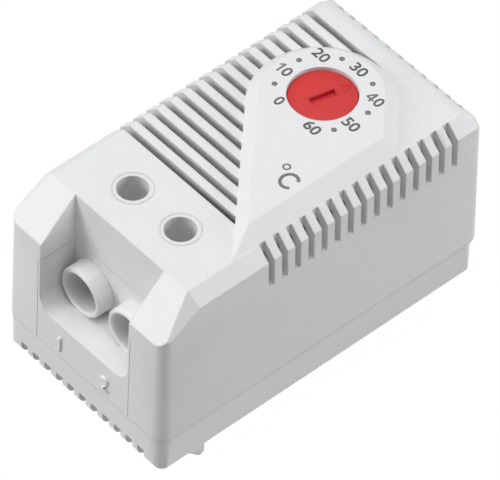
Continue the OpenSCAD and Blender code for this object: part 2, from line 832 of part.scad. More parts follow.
// Insulating carrier of the contacts, the magnet and the bridge
module contact_carrier() {
    half = carrier_w / 2;
    run_in = run_x - run_w - 2 * slide_gap;
    front = y_chamber + 5 * fit_gap;
    end = strip_end + 2 * slide_gap;
    tail = 1.8;
    seat_wall = 1.1;
    seat_depth = 1.5;
    shoulder = 0.5;
    color([0.16, 0.16, 0.17])
    difference() {
        union() {
            block([-half, front, z_floor + fit_gap], [half, strip_end + tail, z_deck]);
            block([-half, front, z_deck - over], [-run_in, end, z_strip]);
            block([-half, front, z_deck - over], [-riser_x, y_pad + heel_l, z_strip]);
            block([-half, y_contact - contact_d * 0.8 - slide_gap, z_deck - over],
                [contact_d * 0.75 + post_w, end, z_strip]);
            block([-post_w, y_pad, z_deck - over], [riser_x + riser_w, y_pad + pad_l, z_pad]);
            block([riser_x, front, z_deck - over], [riser_x + riser_w, y_pad + pad_l, z_pad]);
            block([-magnet_w / 2 - seat_wall, magnet_y - magnet_l / 2 - seat_wall, z_deck - over],
                [magnet_w / 2 + seat_wall, magnet_y + magnet_l / 2 + seat_wall, z_magnet + seat_depth]);
            for (sx = [-1, 1])
                block([sx * (leg_x + leg_t / 2) - leg_t / 2 - ear_w, dial_y - leg_w / 2 - ear_w,
                    z_floor + fit_gap],
                    [sx * (leg_x + leg_t / 2) + leg_t / 2 + ear_w, dial_y + leg_w / 2 + ear_w, z_deck]);
        }
        block([-magnet_w / 2 - fit_gap, magnet_y - magnet_l / 2 - fit_gap, z_magnet - fit_gap],
            [magnet_w / 2 + fit_gap, magnet_y + magnet_l / 2 + fit_gap, z_top]);
        for (sx = [-1, 1]) {
            x = sx * (leg_x + leg_t / 2);
            block([x - leg_t / 2 - fit_gap, dial_y - leg_w / 2 + shoulder, 0],
                [x + leg_t / 2 + fit_gap, dial_y + leg_w / 2 - shoulder, z_top]);
            translate([sx * carrier_screw_x, carrier_screw_y, 0])
                cylinder(h = z_top, r = carrier_screw_r + 3 * fit_gap);
            translate([sx * rivet_x, y_root, z_pad - 2 * rivet_head_h])
                cylinder(h = z_top, r = rivet_head_r + slide_gap);
        }
        translate([0, y_contact, z_strip - 2 * rivet_head_h])
            cylinder(h = z_top, r = rivet_head_r + slide_gap);
    }
}

module carrier_screws() {
    reach = z_deck - z_seat - 2 * boss_drop - 2 * slide_gap;
    color([0.75, 0.76, 0.78])
    for (sx = [-1, 1])
        translate([sx * carrier_screw_x, carrier_screw_y, z_deck + fit_gap])
            difference() {
                union() {
                    cylinder(h = carrier_head_h, r = carrier_head_r);
                    translate([0, 0, -reach])
                        cylinder(h = reach + carrier_head_h / 2, r = carrier_screw_r);
                }
                translate([0, 0, carrier_head_h])
                    cube([2 * carrier_head_r + over, carrier_head_h / 3, carrier_head_h], center = true);
            }
}

// Contact tongue of one terminal and the riser that leads down behind the chamber
module tongue_and_riser(side, z_foot) {
    x_mid = side * pole_x;
    x_riser = side * (riser_x + riser_w / 2);
    block([x_mid - tongue_w / 2, cage_front + 0.5 * cage_wall, z_tongue],
        [x_mid + tongue_w / 2, y_riser + strip_t, z_tongue + tongue_t]);
    block([x_riser - riser_w / 2, y_riser, z_foot], [x_riser + riser_w / 2, y_riser + strip_t,
        z_tongue + tongue_t / 2]);
}

// Busbar of terminal 1, round the left side to the fixed contact
module fixed_contact_strip() {
    color([0.80, 0.62, 0.38])
    difference() {
        union() {
            tongue_and_riser(-1, z_strip);
            block([-run_x, y_riser, z_strip], [-riser_x, y_pad + heel_l, z_strip + strip_t]);
            block([-run_x, y_riser, z_strip], [run_w - run_x, strip_end, z_strip + strip_t]);
            block([-run_x, y_contact - contact_d * 0.8, z_strip], [contact_d * 0.75, strip_end,
                z_strip + strip_t]);
        }
        translate([0, y_contact, 0])
            cylinder(h = z_top, r = rivet_r + fit_gap);
    }
}

// A contact rivet: head up or down from z, with a shank through t and a flat tail
module contact_rivet(z, t, up) {
    translate([0, y_contact, z])
        mirror([0, 0, up ? 0 : 1]) {
            cylinder(h = contact_h - 0.25 * contact_h, d = contact_d);
            translate([0, 0, 0.75 * contact_h])
                cylinder(h = contact_h / 4, d1 = contact_d, d2 = contact_d * 0.8);
            translate([0, 0, -t - fit_gap])
                cylinder(h = t + contact_h / 2, r = rivet_r);
            translate([0, 0, -t - rivet_head_h])
                cylinder(h = rivet_head_h, r = rivet_head_r);
        }
}

module fixed_contact() {
    color([0.88, 0.88, 0.90])
        contact_rivet(z_strip + strip_t, strip_t, true);
}

module moving_contact() {
    color([0.88, 0.88, 0.90])
        contact_rivet(z_bimetal, bimetal_t, false);
}

// Busbar of terminal 2, with the pad that carries the setting spring
module bimetal_busbar() {
    color([0.80, 0.62, 0.38])
    difference() {
        union() {
            tongue_and_riser(1, z_pad);
            block([riser_x, y_riser, z_pad], [riser_x + riser_w, y_pad + pad_l, z_pad + strip_t]);
            block([-post_w, y_pad, z_pad], [riser_x + riser_w, y_pad + pad_l, z_pad + strip_t]);
        }
        for (sx = [-1, 1])
            translate([sx * rivet_x, y_root, 0])
                cylinder(h = z_top, r = rivet_r + fit_gap);
    }
}

// Rivets that hold the setting spring's root on the pad
module spring_rivets() {
    top = z_leaf + leaf_t + turn_gap;
    color([0.74, 0.75, 0.77])
    for (sx = [-1, 1])
        translate([sx * rivet_x, y_root, 0]) {
            translate([0, 0, z_pad - rivet_head_h])
                cylinder(h = top + rivet_head_h / 2 - z_pad + rivet_head_h, r = rivet_r);
            translate([0, 0, z_pad - rivet_head_h])
                cylinder(h = rivet_head_h, r = rivet_head_r);
            translate([0, 0, top])
                cylinder(h = rivet_head_h, r = rivet_head_r);
        }
}

// Stepped leaf spring: the adjusting screw presses on its rear end, its root carries the bimetal
module setting_spring() {
    up = z_leaf + leaf_rise;
    run = leaf_rise / 2;
    color([0.82, 0.66, 0.42])
    difference() {
        along_x(leaf_w)
            polygon([[y_pad, z_leaf], [y_step, z_leaf], [y_step + run, up], [leaf_end, up],
                [leaf_end, up + leaf_t], [y_step + run - leaf_t / 2, up + leaf_t],
                [y_step - leaf_t / 2, z_leaf + leaf_t], [y_pad, z_leaf + leaf_t]]);
        for (sx = [-1, 1]) {
            translate([sx * rivet_x, y_root, 0])
                cylinder(h = z_top, r = rivet_r + 2 * fit_gap);
            translate([sx * rivet_x, y_bimetal_rivet, 0])
                cylinder(h = z_top, r = rivet_r + fit_gap);
        }
    }
}

// Rivets that hold the bimetal under the setting spring
module bimetal_rivets() {
    low = z_bimetal - flex_gap;
    color([0.74, 0.75, 0.77])
    for (sx = [-1, 1])
        translate([sx * rivet_x, y_bimetal_rivet, 0]) {
            translate([0, 0, low - rivet_head_h / 2])
                cylinder(h = z_leaf + leaf_t + rivet_head_h - low, r = rivet_r);
            translate([0, 0, low - rivet_head_h])
                cylinder(h = rivet_head_h, r = rivet_head_r);
            translate([0, 0, z_leaf + leaf_t + fit_gap])
                cylinder(h = rivet_head_h, r = rivet_head_r);
        }
}

module bimetal_strip() {
    color([0.66, 0.64, 0.60])
    difference() {
        block([-bimetal_w / 2, y_bimetal, z_bimetal],
            [bimetal_w / 2, strip_end - slide_gap, z_bimetal + bimetal_t]);
        for (sx = [-1, 1])
            translate([sx * rivet_x, y_bimetal_rivet, 0])
                cylinder(h = z_top, r = rivet_r + 2 * flex_gap);
        translate([0, y_contact, 0])
            cylinder(h = z_top, r = rivet_r + fit_gap);
    }
}

// Soft iron plate that the magnet pulls on
module armature() {
    color([0.50, 0.51, 0.53])
        block([-magnet_w / 2, magnet_y - magnet_l / 2, z_bimetal - armature_t],
            [magnet_w / 2, magnet_y + magnet_l / 2, z_bimetal]);
}

module snap_magnet() {
    color([0.24, 0.24, 0.26])
        block([-magnet_w / 2, magnet_y - magnet_l / 2, z_magnet],
            [magnet_w / 2, magnet_y + magnet_l / 2, z_magnet + magnet_h]);
}

// Rising clamp cage: a square ring round the tongue, threaded in its top
module terminal_cage(side) {
    color([0.76, 0.77, 0.79])
    translate([side * pole_x, 0, 0])
    difference() {
        block([-cage_w / 2, cage_front, z_cage], [cage_w / 2, cage_rear, z_cage_top + cage_top]);
        block([cage_wall - cage_w / 2, -body_l, z_window], [cage_w / 2 - cage_wall, body_l, z_cage_top]);
        translate([0, y_screw, z_cage_top - over])
            cylinder(h = cage_top + 2 * over, r = screw_d / 2 + fit_gap);
    }
}

module terminal_cage_1() {
    terminal_cage(-1);
}

module terminal_cage_2() {
    terminal_cage(1);
}

module terminal_screw(side) {
    slot_w = screw_head_d * 0.19;
    color([0.79, 0.80, 0.81])
    translate([side * pole_x, y_screw, 0])
    difference() {
        union() {
            translate([0, 0, z_screw_tip])
                cylinder(h = z_head + fit_gap - z_screw_tip, d = screw_d);
            translate([0, 0, z_head])
                cylinder(h = screw_head_h, d = screw_head_d);
        }
        translate([0, 0, z_head + screw_head_h])
            cube([screw_head_d + over, slot_w, screw_head_h], center = true);
        translate([0, 0, z_head + screw_head_h])
            cube([slot_w, screw_head_d * 0.7, screw_head_h], center = true);
    }
}

module terminal_screw_1() {
    terminal_screw(-1);
}

module terminal_screw_2() {
    terminal_screw(1);
}

// Sprung latch at the front of the rail: foot with its nose, tongue and release tab
module rail_latch() {
    top = z_base - slide_gap;
    low_r = hook_grip * 0.6;
    nose_y = hook_grip - rail_half;
    foot_y = nose_y - toe_back;
    slant_y = foot_y - low_r - low_r * cos(45);
    slant_z = low_r - low_r * sin(45);
    tab_x = clip_w / 4;
    color([0.80, 0.81, 0.81])
    difference() {
        union() {
            along_x(clip_w) {
                polygon([[foot_y, low_r], [foot_y, z_hook * 0.6], [nose_y, z_hook - low_r],
                    [nose_y, z_hook], [-rail_half, z_hook], [-rail_half, top], [-latch_front, top],
                    [-latch_front, z_hook], [slant_y + slant_z - z_hook, z_hook], [slant_y, slant_z],
                    [foot_y - low_r, low_r]]);
                translate([foot_y - low_r, low_r])
                    circle(r = low_r);
            }
            block([-tongue_x, -rail_half - over, tongue_z], [tongue_x, -tongue_rear, top]);
            block([-tab_x, -latch_front - latch_tab, tongue_z], [tab_x, over - latch_front, top]);
        }
        block([-tab_x / 2, -latch_front - latch_tab * 0.7, 0],
            [tab_x / 2, -latch_front - latch_tab / 4, z_base]);
        block([-window_x, -window_front, 0], [window_x, -window_rear, z_base]);
    }
}

// Flat zigzag spring between the base's stop and the latch
module latch_spring() {
    pitch = (spring_front - spring_rear) / spring_bars;
    bar_t = pitch * 0.4;
    bar_l = 2 * window_x - 2 * pitch;
    turn_in = (pitch - bar_t) / 2;
    color([0.72, 0.74, 0.76])
    translate([0, pitch / 2 - spring_front, tongue_z])
        linear_extrude(z_base - slide_gap - tongue_z)
            for (i = [0 : spring_bars - 1]) {
                translate([-bar_l / 2, i * pitch - bar_t / 2])
                    square([bar_l, bar_t]);
                if (i < spring_bars - 1)
                    mirror([i % 2, 0])
                        translate([bar_l / 2, (i + 1 / 2) * pitch])
                            difference() {
                                circle(r = turn_in + bar_t);
                                circle(r = turn_in);
                                translate([-2 * pitch, -pitch])
                                    square(2 * pitch);
                            }
            }
}

housing_cover();
base_plate();
terminal_housing();
setting_dial();
dial_retainer();
dial_washer();
adjusting_screw();
adjusting_bush();
bridge();
contact_carrier();
carrier_screws();
fixed_contact_strip();
fixed_contact();
bimetal_busbar();
spring_rivets();
setting_spring();
bimetal_rivets();
bimetal_strip();
moving_contact();
armature();
snap_magnet();
terminal_cage_1();
terminal_cage_2();
terminal_screw_1();
terminal_screw_2();
rail_latch();
latch_spring();
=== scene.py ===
import json
import math

import bmesh
import bpy
from mathutils import Euler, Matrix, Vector


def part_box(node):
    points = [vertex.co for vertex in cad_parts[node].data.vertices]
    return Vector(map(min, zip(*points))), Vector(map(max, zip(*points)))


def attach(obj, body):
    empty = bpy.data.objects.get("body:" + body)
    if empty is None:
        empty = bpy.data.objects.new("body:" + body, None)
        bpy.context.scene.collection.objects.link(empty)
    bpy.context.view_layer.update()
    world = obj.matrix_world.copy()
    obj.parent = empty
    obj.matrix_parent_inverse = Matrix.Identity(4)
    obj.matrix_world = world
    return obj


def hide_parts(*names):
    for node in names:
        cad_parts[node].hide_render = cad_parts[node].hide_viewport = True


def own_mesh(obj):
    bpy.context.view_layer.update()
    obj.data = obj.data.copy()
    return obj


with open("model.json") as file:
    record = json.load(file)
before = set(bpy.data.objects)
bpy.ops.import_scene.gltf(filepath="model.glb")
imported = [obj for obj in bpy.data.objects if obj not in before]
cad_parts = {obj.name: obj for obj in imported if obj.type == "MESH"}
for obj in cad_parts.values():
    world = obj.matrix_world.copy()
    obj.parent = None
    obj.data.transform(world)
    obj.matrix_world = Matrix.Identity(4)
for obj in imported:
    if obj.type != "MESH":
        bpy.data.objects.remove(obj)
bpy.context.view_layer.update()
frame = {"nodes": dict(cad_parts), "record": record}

MM = 0.001
SCENE = bpy.context.scene
NODES = frame["nodes"]
MOUNTS = {mount["name"]: mount for mount in frame["record"]["mounts"]}

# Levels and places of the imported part, in millimetres
FIELD_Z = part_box("housing_cover")[1][2] / MM
FRONT_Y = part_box("terminal_housing")[0][1] / MM
DIAL_LOW, DIAL_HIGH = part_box("setting_dial")
DIAL_Y = (DIAL_LOW[1] + DIAL_HIGH[1]) / 2 / MM
DIAL_Z = DIAL_HIGH[2] / MM


# Materials

# Scales of the noises: the clouds in plastic and metal, the grain of plastic, dial and print, drawn metal
CLOUDS = 90.0
METAL_CLOUDS = 250.0
GRAIN = 4000.0
DIAL_GRAIN = 7000.0
PRINT_GRAIN = 14000.0
DRAWN_LINES = 6000.0
# The stretch of a noise that is spread over its whole effect
NOISE_LOW, NOISE_HIGH = 0.3, 0.7
# How far the grain moves the brightness of plastic, and the roughness of plastic and metal
SPECK = 0.035
PLASTIC_SHEEN = 0.06
METAL_SHEEN = 0.08
# Height of the relief
PLASTIC_RELIEF = 0.05 * MM
METAL_RELIEF = 0.03 * MM
# Radius at which plastic edges look rounded, and the rays that find them
EDGE_R = 0.3 * MM
EDGE_RAYS = 6
# Sockets of a Mix node that mixes colours
MIX_FACTOR, MIX_LOW, MIX_HIGH, MIX_RESULT = 0, 6, 7, 2


def link(owner, a, b):
    owner.node_tree.links.new(a, b)


def add(owner, kind, x=0, y=0, **inputs):
    """Adds a node to a material or world. Its inputs are named with _ for a space."""
    node = owner.node_tree.nodes.new(kind)
    node.location = (x, y)
    for name, value in inputs.items():
        node.inputs[name.replace("_", " ")].default_value = value
    return node


def emptied(owner):
    """Gives a material or world an empty node tree."""
    owner.use_nodes = True
    owner.node_tree.nodes.clear()
    return owner


def new_material(name):
    mat = emptied(bpy.data.materials.new(name))
    out = add(mat, "ShaderNodeOutputMaterial", 600)
    shader = add(mat, "ShaderNodeBsdfPrincipled", 300)
    link(mat, shader.outputs[0], out.inputs[0])
    return mat, shader


def noise(mat, place, scale, detail=3.0, rough=0.55):
    node = add(mat, "ShaderNodeTexNoise", -600, Scale=scale, Detail=detail, Roughness=rough)
    link(mat, place, node.inputs["Vector"])
    return node.outputs[0]


def spread(mat, source, low, high):
    """Spreads a noise over low to high."""
    node = add(mat, "ShaderNodeMapRange", -350, From_Min=NOISE_LOW, From_Max=NOISE_HIGH)
    node.inputs["To Min"].default_value = low
    node.inputs["To Max"].default_value = high
    link(mat, source, node.inputs["Value"])
    return node.outputs[0]


def clouded(mat, place, scale, colour, vary):
    """The colour, darker and lighter in soft clouds by the share vary."""
    cloud = noise(mat, place, scale)
    mix = add(mat, "ShaderNodeMix", -150)
    mix.data_type = "RGBA"
    link(mat, spread(mat, cloud, 0.0, 1.0), mix.inputs[MIX_FACTOR])
    for socket, share in ((MIX_LOW, 1 - vary), (MIX_HIGH, 1 + vary)):
        mix.inputs[socket].default_value = (*(share * c for c in colour), 1)
    return mix.outputs[MIX_RESULT]


def plastic(name, colour, rough, grain=GRAIN, bump=0.3, vary=0.015):
    """Moulded plastic: a fine grain in relief, colour and gloss, slight clouds and rounded edges."""
    mat, shader = new_material(name)
    place = add(mat, "ShaderNodeTexCoord", -900).outputs["Object"]
    fine = noise(mat, place, grain, detail=2.0, rough=0.6)
    specks = add(mat, "ShaderNodeHueSaturation", -50, 200)
    link(mat, clouded(mat, place, CLOUDS, colour, vary), specks.inputs["Color"])
    link(mat, spread(mat, fine, 1 - SPECK, 1 + SPECK), specks.inputs["Value"])
    link(mat, specks.outputs[0], shader.inputs["Base Color"])
    link(mat, spread(mat, fine, rough - PLASTIC_SHEEN, rough + PLASTIC_SHEEN), shader.inputs["Roughness"])
    rounded = add(mat, "ShaderNodeBevel", -200, -300, Radius=EDGE_R)
    rounded.samples = EDGE_RAYS
    relief = add(mat, "ShaderNodeBump", 50, Strength=bump, Distance=PLASTIC_RELIEF)
    link(mat, fine, relief.inputs["Height"])
    link(mat, rounded.outputs[0], relief.inputs["Normal"])
    link(mat, relief.outputs[0], shader.inputs["Normal"])
    return mat


def metal(name, colour, rough, streak=(1.0, 1.0, 1.0), vary=0.05, bump=0.05):
    """Rolled or plated metal: fine drawn lines in gloss and relief, and a clouded tone."""
    mat, shader = new_material(name)
    place = add(mat, "ShaderNodeTexCoord", -1100).outputs["Object"]
    stretch = add(mat, "ShaderNodeMapping", -850, Scale=streak)
    link(mat, place, stretch.inputs["Vector"])
    lines = noise(mat, stretch.outputs[0], DRAWN_LINES, rough=0.6)
    link(mat, clouded(mat, place, METAL_CLOUDS, colour, vary), shader.inputs["Base Color"])
    link(mat, spread(mat, lines, rough - METAL_SHEEN, rough + METAL_SHEEN), shader.inputs["Roughness"])
    shader.inputs["Metallic"].default_value = 1.0
    relief = add(mat, "ShaderNodeBump", 50, Strength=bump, Distance=METAL_RELIEF)
    link(mat, lines, relief.inputs["Height"])
    link(mat, relief.outputs[0], shader.inputs["Normal"])
    return mat


def dial_plastic():
    """The dial's red plastic, into which light sinks a little."""
    mat = plastic("dial_plastic", (0.58, 0.022, 0.022), 0.5, grain=DIAL_GRAIN, bump=0.05, vary=0.04)
    shader = next(node for node in mat.node_tree.nodes if node.type == "BSDF_PRINCIPLED")
    shader.inputs["Subsurface Weight"].default_value = 0.25
    shader.inputs["Subsurface Radius"].default_value = (1.0, 0.12, 0.12)
    shader.inputs["Subsurface Scale"].default_value = 0.6 * MM
    return mat


COVER = plastic("cover_plastic", (0.76, 0.765, 0.775), 0.48)
# The raised numbers are moulded in the cover's plastic, and their lighter colour is a painted highlight on
# their strokes
RAISED_MARK_PAINTED_HIGHLIGHT = plastic("number_plastic_painted_highlight", (0.87, 0.875, 0.885), 0.45)
BASE = plastic("base_plastic", (0.755, 0.76, 0.765), 0.40)
# The latch's plastic is painted lighter than the base's, as painted light on the foot that lies in the
# base's shadow
LATCH_PAINTED_LIGHT = plastic("latch_plastic", (0.90, 0.905, 0.91), 0.50)
DIAL = dial_plastic()
SLOT_RED = plastic("slot_red", (0.62, 0.003, 0.03), 0.6, grain=DIAL_GRAIN, bump=0.05)
DARK = plastic("dark_plastic", (0.028, 0.028, 0.031), 0.45, vary=0.1)
PRINT = plastic("print_grey", (0.17, 0.175, 0.183), 0.60, grain=PRINT_GRAIN, bump=0.10, vary=0.10)
STEEL = metal("plated_steel", (0.62, 0.63, 0.65), 0.32, (1.0, 0.1, 1.0))
BRASS = metal("rolled_brass", (0.72, 0.50, 0.22), 0.30, (1.0, 0.08, 1.0))
SILVER = metal("contact_silver", (0.86, 0.86, 0.85), 0.24)
BIMETAL = metal("bimetal", (0.55, 0.52, 0.46), 0.38, (1.0, 0.06, 1.0))
IRON = metal("soft_iron", (0.34, 0.35, 0.37), 0.45)
MAGNET = metal("magnet", (0.13, 0.13, 0.14), 0.55, vary=0.12)

# The nodes that aren't of plated steel
PAINT = {
    "housing_cover": COVER,
    "terminal_housing": COVER,
    "base_plate": BASE,
    "rail_latch": LATCH_PAINTED_LIGHT,
    "setting_dial": DIAL,
    "contact_carrier": DARK,
    "fixed_contact_strip": BRASS,
    "bimetal_busbar": BRASS,
    "setting_spring": BRASS,
    "adjusting_bush": BRASS,
    "dial_washer": BRASS,
    "fixed_contact": SILVER,
    "moving_contact": SILVER,
    "bimetal_strip": BIMETAL,
    "armature": IRON,
    "snap_magnet": MAGNET,
}


# Finish of the CAD nodes

# Widths of the softened edges and the distance at which points are joined, in millimetres
SOFT_EDGES = {
    "housing_cover": 0.35,
    "base_plate": 0.3,
    "terminal_housing": 0.2,
    "rail_latch": 0.3,
    "setting_dial": 0.1,
}
FINE_EDGE = 0.05
EDGE_STEPS = 2
WELD = 0.002
# Angles between faces, in degrees, from which an edge is softened and from which its shading is sharp
SOFTENED_FROM = 32
SHARP_FROM = 20


def shading_nodes():
    """Node group: smooth shading, with a sharp line at each edge of more than SHARP_FROM."""
    group = bpy.data.node_groups.new("shade_by_angle", "GeometryNodeTree")
    for in_out in ("INPUT", "OUTPUT"):
        group.interface.new_socket("Geometry", in_out=in_out, socket_type="NodeSocketGeometry")
    make, join = group.nodes.new, group.links.new
    start, end = make("NodeGroupInput"), make("NodeGroupOutput")
    drop = make("GeometryNodeRemoveAttribute")
    drop.inputs["Name"].default_value = "custom_normal"
    faces, edges = make("GeometryNodeSetShadeSmooth"), make("GeometryNodeSetShadeSmooth")
    faces.domain, edges.domain = "FACE", "EDGE"
    turn, flat = make("GeometryNodeInputMeshEdgeAngle"), make("FunctionNodeCompare")
    flat.operation = "LESS_EQUAL"
    flat.inputs["B"].default_value = math.radians(SHARP_FROM)
    join(start.outputs[0], drop.inputs["Geometry"])
    join(drop.outputs[0], faces.inputs["Geometry"])
    join(faces.outputs[0], edges.inputs["Geometry"])
    join(turn.outputs["Unsigned Angle"], flat.inputs["A"])
    join(flat.outputs[0], edges.inputs["Shade Smooth"])
    join(edges.outputs[0], end.inputs[0])
    return group


SHADING = shading_nodes()


def finished(name, obj):
    """Material, softened edges and shading of a CAD node, or of a piece that stands for it."""
    obj.data.materials.clear()
    obj.data.materials.append(PAINT.get(name, STEEL))
    weld = obj.modifiers.new("weld", "WELD")
    weld.merge_threshold = WELD * MM
    edge = obj.modifiers.new("soft_edges", "BEVEL")
    edge.width = SOFT_EDGES.get(name, FINE_EDGE) * MM
    edge.segments = EDGE_STEPS
    edge.limit_method = "ANGLE"
    edge.angle_limit = math.radians(SOFTENED_FROM)
    # Without the clamp, the softened edges of the cover's small faces would cross
    edge.use_clamp_overlap = True
    shade = obj.modifiers.new("shading", "NODES")
    shade.node_group = SHADING


def latch_spring_coils():
    """The latch's spring: a copy of its mesh that rides on the housing in place of the CAD node."""
    node = NODES["latch_spring"]
    spring = bpy.data.objects.new("latch_spring_coils", node.data.copy())
    spring.matrix_world = node.matrix_world
    SCENE.collection.objects.link(spring)
    finished("latch_spring", spring)
    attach(spring, "housing")
    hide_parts("latch_spring")
    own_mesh(spring)


for name, obj in NODES.items():
    finished(name, obj)
latch_spring_coils()


# Printed and raised marks, in millimetres

FULL_TURN = 360
# How far a mark stands out of its face, and how far it sinks into it
PRINT_RISE = 0.012
PRINT_SINK = 0.05

# In shares of the font's size: the offset that gives the printed numbers their weight, the distance at
# which the font's points are joined, and the outlines of the numerals that are drawn here
PRINT_BOLD = 0.022
GLYPH_WELD = 1e-5
ONE = [(0.27, 0), (0.45, 0), (0.45, 0.72), (0.29, 0.72), (0, 0.56), (0, 0.42), (0.27, 0.55)]
FOUR = [
    (0.31, 0),
    (0.45, 0),
    (0.45, 0.15),
    (0.56, 0.15),
    (0.56, 0.27),
    (0.45, 0.27),
    (0.45, 0.72),
    (0.29, 0.72),
    (0, 0.28),
    (0, 0.15),
    (0.31, 0.15),
]
FOUR_HOLE = [(0.31, 0.27), (0.14, 0.27), (0.31, 0.54)]
DRAWN_NUMERALS = {"1": [ONE], "4": [FOUR, FOUR_HOLE]}
FONT_STEPS = 6


def finish_mesh(name, bm, material, body):
    """Makes a piece of the mesh with the given material. It rides on a body."""
    mesh = bpy.data.meshes.new(name)
    bmesh.ops.recalc_face_normals(bm, faces=bm.faces)
    bm.to_mesh(mesh)
    bm.free()
    mesh.materials.append(material)
    obj = bpy.data.objects.new(name, mesh)
    SCENE.collection.objects.link(obj)
    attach(obj, body)


def numeral(loops):
    """A flat mesh of closed outlines."""
    bm = bmesh.new()
    for loop in loops:
        verts = [bm.verts.new((x, y, 0)) for x, y in loop]
        for i, vert in enumerate(verts):
            bm.edges.new((verts[i - 1], vert))
    bmesh.ops.triangle_fill(bm, edges=bm.edges[:], use_beauty=True)
    return bm


def glyphs(text, bold):
    """A flat mesh of the text, about one unit high."""
    if text in DRAWN_NUMERALS:
        return numeral(DRAWN_NUMERALS[text])
    curve = bpy.data.curves.new("glyph", "FONT")
    curve.body = text
    curve.offset = bold
    curve.resolution_u = FONT_STEPS
    obj = bpy.data.objects.new("glyph", curve)
    SCENE.collection.objects.link(obj)
    mesh = bpy.data.meshes.new_from_object(obj.evaluated_get(bpy.context.evaluated_depsgraph_get()))
    bpy.data.objects.remove(obj)
    bpy.data.curves.remove(curve)
    bm = bmesh.new()
    bm.from_mesh(mesh)
    bpy.data.meshes.remove(mesh)
    bmesh.ops.remove_doubles(bm, verts=bm.verts, dist=GLYPH_WELD)
    return bm


def fitted_glyphs(text, bold, width, height):
    """The text's mesh, centred, with its width and height in millimetres."""
    bm = glyphs(text, bold)
    xs = [v.co.x for v in bm.verts]
    ys = [v.co.y for v in bm.verts]
    scale_x = width * MM / (max(xs) - min(xs))
    scale_y = height * MM / (max(ys) - min(ys))
    middle_x = (max(xs) + min(xs)) / 2
    middle_y = (max(ys) + min(ys)) / 2
    for v in bm.verts:
        v.co = Vector(((v.co.x - middle_x) * scale_x, (v.co.y - middle_y) * scale_y, 0))
    return bm


def thicken(bm, up):
    """Raises a flat mesh by the vector up, and keeps its underside."""
    made = bmesh.ops.extrude_face_region(bm, geom=bm.faces[:])
    moved = [g for g in made["geom"] if isinstance(g, bmesh.types.BMVert)]
    bmesh.ops.translate(bm, verts=moved, vec=up)


def print_mesh(name, bm, x, y):
    """Prints a flat mesh on the dial field."""
    bmesh.ops.translate(bm, verts=bm.verts, vec=(x * MM, y * MM, (FIELD_Z - PRINT_SINK) * MM))
    thicken(bm, Vector((0, 0, (PRINT_SINK + PRINT_RISE) * MM)))
    finish_mesh(name, bm, PRINT, "housing")


def band(sections, closed):
    """A mesh through cross-sections of points in metres, joined to a ring or capped at its ends."""
    bm = bmesh.new()
    rings = [[bm.verts.new(point) for point in section] for section in sections]
    count = len(rings)
    for i in range(count if closed else count - 1):
        ring, following = rings[i], rings[(i + 1) % count]
        for k in range(len(ring)):
            n = (k + 1) % len(ring)
            bm.faces.new((ring[k], following[k], following[n], ring[n]))
    if not closed:
        bm.faces.new(rings[0])
        bm.faces.new(rings[-1][::-1])
    return bm


def arc_band(centre, radii, stroke, arc, steps, levels):
    """A flat band along an elliptic arc, with square ends. The arc is given in degrees."""
    start, end = arc
    low, high = levels
    closed = end - start >= FULL_TURN
    sections = []
    for i in range(steps if closed else steps + 1):
        a = math.radians(start + (end - start) * i / steps)
        section = []
        for inward, z in ((0, low), (0, high), (stroke, high), (stroke, low)):
            x = centre[0] + (radii[0] - inward) * math.cos(a)
            y = centre[1] + (radii[1] - inward) * math.sin(a)
            section.append((x * MM, y * MM, z * MM))
        sections.append(section)
    return band(sections, closed)


# The scale on the dial field
NUMBER_H = 1.8
NUMBER_W = 2.6
NOUGHT_W = 1.15
# Numbers: text, distance from the dial's centre and direction in degrees
NUMBERS = [
    ("0", 6.2, -118.0),
    ("10", 6.9, -171.4),
    ("20", 7.3, 139.6),
    ("30", 6.9, 90.9),
    ("40", 7.3, 40.8),
    ("50", 6.9, -7.5),
    ("60", 6.6, -54.6),
]
# Numbers printed digit by digit: name, digit, shift to the side and width
DIGITS = {
    "10": [("one", "1", -0.85, 0.75), ("nought", "0", 0.55, 1.25)],
    "40": [("four", "4", -0.68, 1.3), ("nought", "0", 0.72, 1.22)],
}
# Dots half-way between the numbers: distance and direction
DOTS = [(6.9, -146.3), (7.1, 165.7), (7.2, 116.3), (7.2, 64.6), (7.1, 19.4), (6.9, -29.2)]
DOT_R = 0.42
DOT_STEPS = 24


def around_dial(distance, direction):
    a = math.radians(direction)
    return distance * math.cos(a), DIAL_Y + distance * math.sin(a)


def printed(name, text, x, y, width):
    print_mesh(name, fitted_glyphs(text, PRINT_BOLD, width, NUMBER_H), x, y)


def scale_marks():
    """The numbers and dots round the dial."""
    for text, distance, direction in NUMBERS:
        x, y = around_dial(distance, direction)
        for digit_name, digit, aside, width in DIGITS.get(text, []):
            printed(f"scale_number_{text}_{digit_name}", digit, x + aside, y, width)
        if text not in DIGITS:
            printed(f"scale_number_{text}", text, x, y, NUMBER_W if len(text) > 1 else NOUGHT_W)
    for i, (distance, direction) in enumerate(DOTS):
        bm = bmesh.new()
        bmesh.ops.create_circle(bm, cap_ends=True, segments=DOT_STEPS, radius=DOT_R * MM)
        print_mesh(f"scale_dot_{i + 1}", bm, *around_dial(distance, direction))


# The unit: a small ring and an open round letter
UNIT_MARKS = {
    "unit_ring": {
        "centre": (6.97, 0.69),
        "radii": (0.62, 0.62),
        "stroke": 0.26,
        "arc": (0, FULL_TURN),
        "steps": 32,
    },
    "unit_letter": {
        "centre": (9.15, -0.82),
        "radii": (1.46, 1.58),
        "stroke": 0.5,
        "arc": (38, 322),
        "steps": 40,
    },
}


def unit_marks():
    levels = (FIELD_Z - PRINT_SINK, FIELD_Z + PRINT_RISE)
    for name, shape in UNIT_MARKS.items():
        finish_mesh(name, arc_band(levels=levels, **shape), PRINT, "housing")


# The raised terminal numbers on the front panel: text, place across and width
TERMINAL_NUMBERS = [("1", -4.9, 0.85), ("2", 4.8, 1.7)]
TERMINAL_NUMBER_H = 2.7
TERMINAL_NUMBER_Z = 16.7
TERMINAL_NUMBER_BOLD = -0.015
RAISED = 0.28
RAISED_SINK = 0.25


